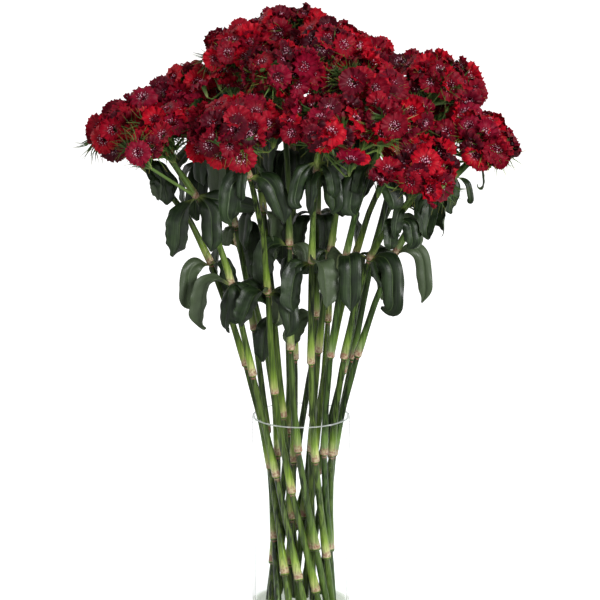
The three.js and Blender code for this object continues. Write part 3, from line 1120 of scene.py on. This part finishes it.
# The leaves: thin blades with a groove along the midrib. foot and tip are how wide the blade is at
# its ends against its middle, broadFrom and taper where along it the full width starts and ends.
# turn is between which parts the blade twists, and tipFrom where its tip starts to. tiles are the
# rows of the map, and so the shades of green, that the leaves take in turn.
leafLook = dict(columns=16, rows=6, steps=24, thick=0.0006, groove=0.1, puff=0.05, nearRib=0.34,
                foot=0.26, tip=0.1, broadFrom=0.2, taper=0.8, wider=1.06, turn=(0.04, 0.45),
                turnJostle=12, tipFrom=0.55, tipTurn=30, dent=0.004, dentSize=0.015, joint=0.003,
                tiles=(0, 1, 3, 0, 1, 2, 3), paleTile=2, pale={"far_right_leaf_low", "left_front_leaf_low"})
leafTiles = (1, 8)
# the kinds of blade: how deep and how close the waves of the edge are, how far the blade sways
# to the side, how its two halves fold up, and where it is widest
bladeKinds = [
    dict(wave=0.06, pace=1.7, sway=0.05, fold=-0.02, widest=1.1),
    dict(wave=0.1, pace=2.3, sway=-0.08, fold=0.16, widest=0.9),
    dict(wave=0.07, pace=1.3, sway=0.1, fold=-0.1, widest=1.3),
    dict(wave=0.12, pace=1.9, sway=-0.04, fold=0.24, widest=1.0),
]


def leafWidth(share, widest):
    look = leafLook
    foot = between(look["foot"], 1, smoothstep(0, look["broadFrom"] * widest, share))
    tip = between(1, look["tip"], smoothstep(look["taper"], 1.02, share))
    return foot * tip * (0.9 + 0.1 * math.sin(math.pi * share))


def makeBlade(kind):
    # one flat leaf along +X, 1 long, 1 wide along Z, with its upper side to +Y
    look = leafLook
    bpy.ops.mesh.primitive_grid_add(x_subdivisions=look["columns"], y_subdivisions=look["rows"],
                                    size=1, location=(0.5, 0, 0))
    blade = bpy.context.object
    settle(blade)
    edit()
    step = 1 / look["columns"]
    for column in range(look["columns"] + 1):
        place = column * step
        width = leafWidth(place, kind["widest"])
        here = lambda spot: abs(spot.x - place) < step / 4
        off = lambda low, high: lambda spot: here(spot) and low < abs(spot.y) / width < high
        scale(here, (1, width, 1), (place, 0, 0))
        shift(off(0.4, 0.6), (0, 0, kind["fold"] * width))
        shift(off(0.1, 0.4), (0, 0, look["puff"] * width))
        shift(off(-1, 0.1), (0, 0, -look["groove"] * width))
        scale(off(0.1, 0.2), (1, look["nearRib"] * 2, 1))
        # one edge waves up where the other waves down
        wave = kind["wave"] * math.sin(column * kind["pace"]) * smoothstep(0.05, 0.3, place)
        shift(lambda spot: here(spot) and spot.y > width * 0.45, (0, 0, wave))
        shift(lambda spot: here(spot) and spot.y < -width * 0.45, (0, 0, -wave * 0.8))
        shift(here, (0, kind["sway"] * (math.sin(2.6 * place) + 0.3 * math.sin(7 * place)), 0))
    doneEditing()
    # the map runs along the leaf in its first row of tiles
    mesh = blade.data
    layer = mesh.uv_layers[0]
    layer.name = tileMap
    for item in layer.data:
        item.uv = (between(0.01, 0.99, item.uv.x), between(0.06, 0.94, item.uv.y) / leafTiles[1])
    mesh.transform(Matrix.Rotation(-math.pi / 2, 4, "X"))
    return blade


def leafSpine(length, rise, bend, curl):
    # the leaf from the side, out along x and up along y: it bends in its first half and curls
    # near its tip
    steps = leafLook["steps"]
    spots = [(0, 0)]
    for k in range(steps):
        share = (k + 0.5) / steps
        angle = math.radians(rise - bend * smoothstep(0, 0.5, share) - curl * smoothstep(0.72, 1, share))
        x, y = spots[-1]
        spots.append((x + math.cos(angle) * length / steps, y + math.sin(angle) * length / steps))
    return spots


def makeLeaf(blade, stemName, joint, towards, length, width, pose, turn, tipTurn, tile):
    look = leafLook
    line, joint = stems[stemName]["line"], jointOf(stemName, joint)
    near = min(range(1, len(line) - 1), key=lambda k: abs(line[k].z - joint.z))
    along = (line[near + 1] - line[near - 1]).normalized()
    outward = Vector((math.cos(math.radians(towards)), math.sin(math.radians(towards)), 0))
    off = (outward - along * outward.dot(along)).normalized()
    leaf = copyOf(blade, Matrix.Diagonal((length, width, width, 1)))
    moveTile(leaf.data, 0, tile / leafTiles[1])
    bpy.ops.curve.primitive_bezier_curve_add()
    spine = bpy.context.object
    spine.data.splines.clear()
    spine.data.dimensions = "2D"
    path = spine.data.splines.new("POLY")
    spots = leafSpine(length, *pose)
    path.points.add(len(spots) - 1)
    for point, spot in zip(path.points, spots):
        point.co = (*spot, 0, 1)
    pick(leaf)
    for name, angle, limits in (("turn", turn, look["turn"]), ("tip turn", tipTurn, (look["tipFrom"], 1))):
        wring = leaf.modifiers.new(name, "SIMPLE_DEFORM")
        wring.deform_method, wring.deform_axis, wring.angle = "TWIST", "X", math.radians(angle)
        wring.limits = limits
    bow = leaf.modifiers.new("bow", "CURVE")
    bow.object, bow.deform_axis = spine, "POS_X"
    applyModifiers(leaf)
    remove(spine)
    place = Matrix((outward, up, outward.cross(up))).transposed().to_4x4()
    place.translation = joint + off * look["joint"]
    leaf.data.transform(place)
    return leaf


def leafMaterial():
    finish = Finish("leaf skin", Specular_IOR_Level=0.4)
    along, row, _ = finish.mapOf(tileMap)
    row = row * leafTiles[1]
    tile, side = row - row.part(), row.part()
    off = (side - 0.5).size() * 2
    fibres = finish.noise(finish.vector(along * 2.2, side * 30, tile), 1, 2)
    clouds = finish.noise(finish.vector(along * 5, side * 2, tile * 3), 1, 3)
    quilt = finish.noise(finish.vector(along * 16, side * 6, tile * 2), 1, 2)
    upper = finish.mix(finish.step(clouds, 0.32, 0.72), paint(14, 28, 10), paint(36, 54, 24))
    upper = finish.mix(finish.step(fibres, 0.45, 0.75, 0, 0.38), upper, paint(66, 86, 50))
    upper = finish.mix(finish.step(off, 0.0, 0.05, 0.65, 0), upper, paint(92, 114, 66))
    # a painted highlight: the blade's edges are painted lighter, where light catches them
    upper = finish.mix(finish.step(off, 0.9, 1, 0, 0.5), upper, paint(72, 88, 50))
    upper = finish.mix(finish.step(along, 0.02, 0.14, 0.7, 0), upper, paint(140, 158, 80))
    under = finish.mix(finish.step(clouds, 0.3, 0.7), paint(58, 72, 46), paint(88, 104, 70))
    under = finish.mix(finish.step(off, 0.03, 0.12, 0.9, 0), under, paint(156, 172, 120))
    under = finish.mix(finish.step(along, 0.02, 0.16, 0.7, 0), under, paint(150, 164, 90))
    # one tile is paler and greyer
    pale = finish.step((tile - leafLook["paleTile"]).size(), 0.2, 0.6, 0.55, 0)
    upper = finish.mix(pale, upper, paint(86, 100, 72))
    colour = finish.mix(tile > 3.5, upper, under)
    return finish.set(Base_Color=colour, Roughness=finish.step(clouds, 0.3, 0.7, 0.39, 0.54),
                      Normal=finish.bump(fibres + 1.4 * quilt, 0.35, 0.0006))


# Each leaf: its stem, the joint it grows from, counted down from the head, or a high spot, the
# way it points in degrees from +X, its length and width in millimetres, the angle at which it
# leaves the stem, how far it bends over and how far its tip curls in, how far its blade is turned,
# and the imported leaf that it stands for, if there is one
leaves = [
    ("far_right", 1, 338, (80, 16), (48, 132, 30), 50, "far_right_leaf_low"),
    ("far_right", 0, 268, (54, 18), (-46, 28, 110), 10, "far_right_leaf_high"),
    ("right_front", 1, 307, (92, 23), (36, 122, 130), 15, "right_front_leaf_low"),
    ("right_front", 0, 256, (38, 14), (-10, 60, 60), 0, "right_front_leaf_high"),
    ("young", 1, 276, (76, 23), (40, 126, 0), 0, "young_leaf"),
    ("centre_front", 1, 305, (66, 23), (40, 126, 0), 15, "centre_front_leaf"),
    ("right_middle", 1, 340, (52, 18), (45, 122, 0), 30, "right_middle_leaf"),
    ("right_upper", 1, 50, (60, 19), (35, 112, 60), 40, "right_upper_leaf"),
    ("right_back", 1, 50, (66, 20), (35, 115, 80), 20, "right_back_leaf"),
    ("back_right", 1, 40, (68, 21), (35, 115, 30), 20, "back_right_leaf"),
    ("back_mid", 1, 100, (66, 21), (35, 115, 60), 0, "back_mid_leaf"),
    ("back_left", 1, 140, (68, 20), (35, 115, 40), -30, "back_left_leaf"),
    ("far_left", 1, 209, (70, 18), (26, 112, 60), -50, "far_left_leaf"),
    ("left_front", 1, 190, (76, 19), (38, 118, 60), -55, "left_front_leaf_low"),
    ("left_front", 1, 290, (62, 22), (20, 108, 90), 25, "left_front_leaf_inner"),
    ("left_front", 0, 214, (66, 26), (-34, 50, -50), -62, "left_front_leaf_high"),
    ("left_front", 0, 350, (64, 20), (-12, -4, 20), 60, "left_front_leaf_level"),
    ("mid_left_front", 1, 228, (54, 23), (36, 94, 0), -20, "mid_left_leaf_low"),
    ("mid_left_front", 0, 330, (62, 23), (0, 64, 20), 45, "mid_left_leaf_high"),
    ("far_left", 0, 305, (28, 13), (-40, 40, 40), 20),
    ("far_left", 0, 320, (36, 17), (-16, 56, 40), 60),
    ("far_left", 1, 330, (46, 17), (20, 100, 80), 60),
    ("back_left", 0, 250, (74, 24), (10, 90, 40), 0),
    ("back_left", 0, 30, (60, 20), (20, 110, 50), 30),
    ("left_ridge", 0, 240, (50, 17), (-20, 70, 60), 10),
    ("left_ridge", 0, 330, (66, 23), (30, 110, 40), 40),
    ("left_ridge", 1, 220, (30, 14), (20, 100, 110), -20),
    ("left_ridge", 1, 330, (58, 20), (20, 104, 60), 30),
    ("left_front", 1, 335, (46, 26), (24, 62, 20), 50),
    ("mid_left_front", 0, 220, (60, 22), (10, 90, 60), -30),
    ("mid_left_front", 1, 320, (60, 20), (20, 100, 60), 30),
    ("upper_left", 0, 260, (74, 24), (20, 110, 30), 0),
    ("upper_left", 0, 340, (70, 23), (30, 112, 60), 40),
    ("upper_left", 1, 290, (72, 24), (20, 108, 50), 0),
    ("upper_left", 1, 200, (58, 21), (30, 116, 40), -40),
    ("upper_left", 2, 236, (52, 17), (-36, 44, 20), -20),
    ("left_front", 1, 246, (56, 17), (-46, 34, 130), -20),
    ("centre_front", 1, 205, (58, 20), (-16, 66, 40), -30),
    ("left_front", 0, 318, (60, 21), (-30, 56, 20), 30),
    ("far_right", 0, 222, (60, 16), (-50, 20, 70), -40),
    ("left_ridge", 0, 290, (76, 24), (-10, 70, 60), 20),
    ("top", 1, 200, (56, 21), (-10, 70, 30), -40),
    ("centre_front", 1, 190, (56, 21), (20, 104, 60), -40),
    ("centre_top", 1, 225, (52, 20), (10, 90, 60), -30),
    ("centre_front", 0, 320, (50, 19), (0, 80, 60), 30),
    ("young", 0, 190, (62, 22), (20, 100, 40), -50),
    ("right_middle", 0, 310, (52, 22), (30, 80, 40), 40),
    ("far_right", "top", 0, (42, 8), (20, 110, 190), 40),
    ("far_right", "neck", 335, (40, 6), (-10, 70, 230), 20),
    ("far_right", 0, 190, (48, 20), (0, 76, 60), -40),
    ("right_front", 0, 330, (38, 17), (0, 80, 90), 40),
    ("mid_left_front", 1, 60, (56, 18), (20, 110, 80), 10),
    ("top_front", 0, 230, (70, 24), (20, 108, 30), -10),
    ("top_front", 0, 320, (66, 22), (30, 112, 60), 20),
    ("top_front", 1, 330, (40, 16), (10, 90, 90), 30),
    ("top_front", 1, 190, (60, 22), (20, 104, 60), -40),
    ("top", 1, 280, (70, 23), (20, 108, 20), 0),
    ("top", 1, 30, (66, 22), (20, 108, 50), 40),
    ("top", 2, 250, (60, 21), (20, 100, 60), 0),
    ("centre_top", 1, 300, (50, 20), (20, 108, 60), 10),
    ("centre_top", 1, 170, (62, 22), (20, 104, 40), -30),
    ("centre_top", 2, 205, (44, 19), (10, 74, 90), -30),
    ("centre_front", 0, 250, (56, 20), (20, 104, 40), 0),
    ("centre_front", 0, 10, (60, 21), (10, 90, 90), 50),
    ("right_centre", 0, 300, (72, 25), (20, 110, 20), 10),
    ("right_centre", 0, 200, (64, 22), (20, 108, 60), -40),
    ("right_centre", 1, 200, (34, 15), (10, 90, 90), -30),
    ("back_right_top", 1, 280, (70, 23), (20, 108, 30), 0),
    ("back_right_top", 1, 60, (66, 22), (20, 104, 50), 0),
    ("young", 0, 330, (48, 20), (0, 64, 60), 45),
    ("young", 0, 215, (60, 22), (10, 92, 70), -30),
    ("young", 1, 120, (52, 20), (20, 108, 60), 0),
    ("right_middle", 0, 190, (54, 21), (0, 60, 70), -50),
    ("right_middle", 0, 20, (56, 20), (10, 90, 80), 40),
    ("right_front", 1, 130, (54, 20), (20, 110, 60), 0),
    ("right_front", 0, 10, (44, 17), (0, 80, 90), 50),
    ("far_right", 0, 205, (60, 18), (-24, 52, 100), -40),
    ("far_right", 1, 200, (44, 17), (20, 110, 80), -40),
    ("right_upper", 0, 270, (66, 23), (20, 110, 30), 0),
    ("right_upper", 0, 60, (64, 22), (20, 106, 50), 20),
    ("right_back", 0, 300, (62, 22), (10, 100, 50), 10),
    ("right_back", 0, 70, (60, 21), (20, 104, 60), 10),
    ("back_right", 0, 260, (68, 23), (20, 108, 30), 0),
    ("back_right", 0, 80, (64, 22), (20, 108, 60), 0),
    ("back_right", 1, 250, (60, 21), (20, 108, 40), 0),
    ("back_mid", 0, 240, (70, 23), (20, 108, 30), 0),
    ("back_mid", 0, 110, (66, 22), (20, 108, 50), 0),
    ("back_mid", 1, 280, (60, 21), (20, 108, 40), 0),
    ("back_left", 1, 320, (56, 20), (20, 108, 60), 20),
    ("right_back", 1, 230, (56, 20), (20, 108, 60), 0),
    ("far_left", "neck", 350, (46, 18), (-20, 30, 30), 50),
    ("far_left", "neck", 335, (36, 15), (-6, 56, 60), 40),
    ("left_ridge", 0, 192, (46, 19), (12, 62, 60), -40),
    ("top", 1, 222, (46, 18), (-50, 30, 20), -30),
    ("mid_left_front", "neck", 250, (42, 12), (-20, 60, 80), 0),
    ("mid_left_front", "neck", 20, (44, 11), (-10, 70, 120), 30),
    ("upper_left", "neck", 240, (48, 13), (-10, 70, 60), 0),
    ("centre_front", "neck", 330, (44, 13), (-10, 70, 80), 30),
    ("centre_front", "neck", 205, (62, 15), (-10, 70, 90), -30),
    ("young", "neck", 220, (44, 12), (-10, 60, 120), -20),
    ("young", "neck", 350, (44, 12), (-10, 60, 120), 30),
    ("right_front", "neck", 230, (38, 11), (-20, 60, 120), -20),
    ("right_front", "neck", 0, (42, 11), (-20, 60, 140), 30),
    ("right_middle", "neck", 300, (44, 13), (-10, 60, 90), 10),
    ("right_back", "neck", 80, (42, 12), (-10, 60, 120), 10),
    ("back_mid", "neck", 70, (42, 12), (-10, 60, 120), 10),
    ("back_right", "neck", 110, (42, 12), (-10, 60, 120), 0),
    ("back_left", 0, 170, (62, 21), (10, 96, 60), -30),
    ("back_left", 1, 60, (60, 20), (20, 108, 60), 0),
    ("back_mid", 1, 60, (62, 21), (30, 112, 60), 10),
    ("back_right", 1, 130, (60, 20), (24, 108, 60), -10),
    ("right_back", 0, 20, (60, 20), (10, 96, 60), 30),
    ("far_right", "neck", 232, (42, 16), (-62, 20, 40), -20),
    ("right_upper", "neck", 250, (60, 24), (20, 60, 30), 10),
    ("right_upper", "neck", 300, (50, 22), (10, 60, 30), 0),
    ("upper_left", "neck", 290, (64, 24), (10, 60, 20), 0),
    ("upper_left", "neck", 190, (60, 22), (10, 70, 30), 0),
    ("back_right_top", "neck", 40, (56, 22), (10, 60, 30), 0),
    ("top_front", "neck", 340, (46, 24), (50, 60, 20), 0),
]


def makeLeaves(chance):
    look = leafLook
    blades = [makeBlade(kind) for kind in bladeKinds]
    material = leafMaterial()
    dents = bpy.data.textures.new("leaf dents", "CLOUDS")
    dents.noise_scale = look["dentSize"]
    byStem = {}
    for number, (stem, joint, towards, (length, width), pose, turn, *replaced) in enumerate(leaves):
        tile = look["tiles"][number % len(look["tiles"])]
        if look["pale"].intersection(replaced):
            tile = look["paleTile"]
        leaf = makeLeaf(blades[number * 7 % len(blades)], stem, joint, towards, length * mm,
                        width * mm * look["wider"], pose,
                        turn + chance.uniform(-1, 1) * look["turnJostle"],
                        chance.uniform(-1, 1) * look["tipTurn"], tile)
        byStem.setdefault(stem, ([], []))
        byStem[stem][0].append(leaf)
        byStem[stem][1].extend(replaced)
    remove(*blades)
    for stem, (parts, replaced) in byStem.items():
        group = joined(parts, stem + "_leaves")
        dress(group, material)
        uppers = len(group.data.polygons)
        uneven = group.modifiers.new("dents", "DISPLACE")
        uneven.texture, uneven.strength = dents, look["dent"]
        wall = group.modifiers.new("wall", "SOLIDIFY")
        wall.thickness, wall.offset = look["thick"], -1
        applyModifiers(group)
        # the wall adds the undersides after the upper sides: they have tiles of their own
        layer = group.data.uv_layers[tileMap]
        for face in list(group.data.polygons)[uppers:uppers * 2]:
            for corner in face.loop_indices:
                layer.data[corner].uv.y += 0.5
        smooth = group.modifiers.new("smooth", "SUBSURF")
        smooth.levels = smooth.render_levels = 1
        applyModifiers(group)
        bpy.ops.object.shade_smooth()
        finished(group, stem + "_leaves", "leaf", *replaced)


# The studio: a pale floor, a white surround and two large soft lamps
studioLook = dict(floor=30, glow=0.75, horizon=1.0, zenith=0.32, fade=(0.04, 0.5), aim=(0, 0, 0.42),
                  lamps=[dict(place=(1.4, -2.5, 1.5), size=1.1, power=84),
                         dict(place=(-2.2, 1.6, 2.4), size=1.6, power=24)])


def makeStudio():
    look = studioLook
    bpy.ops.mesh.primitive_plane_add(size=look["floor"], location=(0, 0, -0.0003))
    floor = bpy.context.object
    floor.name = "floor"
    finish = Finish("pale floor", Roughness=0.9, Specular_IOR_Level=0.1,
                    Emission_Color=(1, 1, 1, 1), Emission_Strength=look["glow"])
    cloud = finish.noise(finish.place(), 3, 2)
    finish.set(Base_Color=finish.mix(cloud, paint(240, 240, 241), paint(244, 244, 244)))
    dress(floor, finish.material)
    floor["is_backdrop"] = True
    # the floor is only there to be seen: the light comes from the lamps and the surround
    floor.visible_diffuse = floor.visible_glossy = False
    world = bpy.data.worlds.new("surround")
    bpy.context.scene.world = world
    world.use_nodes = True
    # white all round the horizon, and dimmer above and below
    nodes, links = world.node_tree.nodes, world.node_tree.links
    kinds = ("TexCoord", "SeparateXYZ", "Math", "MapRange")
    way, split, size, fade = (nodes.new("ShaderNode" + kind) for kind in kinds)
    size.operation = "ABSOLUTE"
    fade.interpolation_type = "SMOOTHSTEP"
    limits = (*look["fade"], look["horizon"], look["zenith"])
    for socket, value in zip(("From Min", "From Max", "To Min", "To Max"), limits):
        fade.inputs[socket].default_value = value
    links.new(way.outputs["Generated"], split.inputs[0])
    links.new(split.outputs["Z"], size.inputs[0])
    links.new(size.outputs[0], fade.inputs["Value"])
    links.new(fade.outputs["Result"], nodes["Background"].inputs["Strength"])
    nodes["Background"].inputs["Color"].default_value = (1, 1, 1, 1)
    for lamp in look["lamps"]:
        place = Vector(lamp["place"])
        turned = (Vector(look["aim"]) - place).to_track_quat("-Z", "Y")
        bpy.ops.object.light_add(type="AREA", location=place, rotation=turned.to_euler())
        shine = bpy.context.object
        shine.data.shape, shine.data.size, shine.data.energy = "DISK", lamp["size"], lamp["power"]
        shine.visible_camera = False
    bpy.context.scene.view_settings.view_transform = "Standard"


makeCamera()
stemNames = sorted(name.removesuffix("_stem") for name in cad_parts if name.endswith("_stem"))
stems = {name: readStem(name + "_stem") for name in stemNames}
for name in stemNames:
    lowerJoints(name)
heads = {name: readHead(name + "_head", stems[name]["top"]) for name in stemNames}
print("read", len(stems), "stems and their heads")

makeStudio()
makeVase()
print("vase done")

skin = stalkMaterial()
for number, name in enumerate(stemNames):
    stalk = makeStalk(name, skin, number * 3 % stalkLook["tones"])
    finished(stalk, name + "_stalk", "stem", name + "_stem")
print("stalks done")

ruffle = bpy.data.textures.new("petal ruffle", "CLOUDS")
ruffle.noise_scale = headLook["ruffleSize"]
models = dict(florets=[makeFloret(kind) for kind in floretKinds], bud=makeBud(),
              calyx=makeCalyx(greenLook["bractLength"], greenLook["bracts"]),
              tuft=makeCalyx(greenLook["awnLength"], greenLook["awns"]),
              petalMaterial=petalMaterial(), greenMaterial=greenMaterial(),
              ruffle=ruffle, creases=creaseSpots(random.Random(3)))
for number, name in enumerate(stemNames):
    makeHead(name, models, random.Random(number + 11))
remove(*models["florets"], models["bud"], models["calyx"], models["tuft"])
print("heads done")

makeLeaves(random.Random(5))
print("leaves done")

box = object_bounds()
past = [(low - seen) / mm for low, seen in zip(cadBox[0], box[0])]
past += [(seen - high) / mm for high, seen in zip(cadBox[1], box[1])]
print("millimetres past the packed box:", [round(value, 1) for value in past])
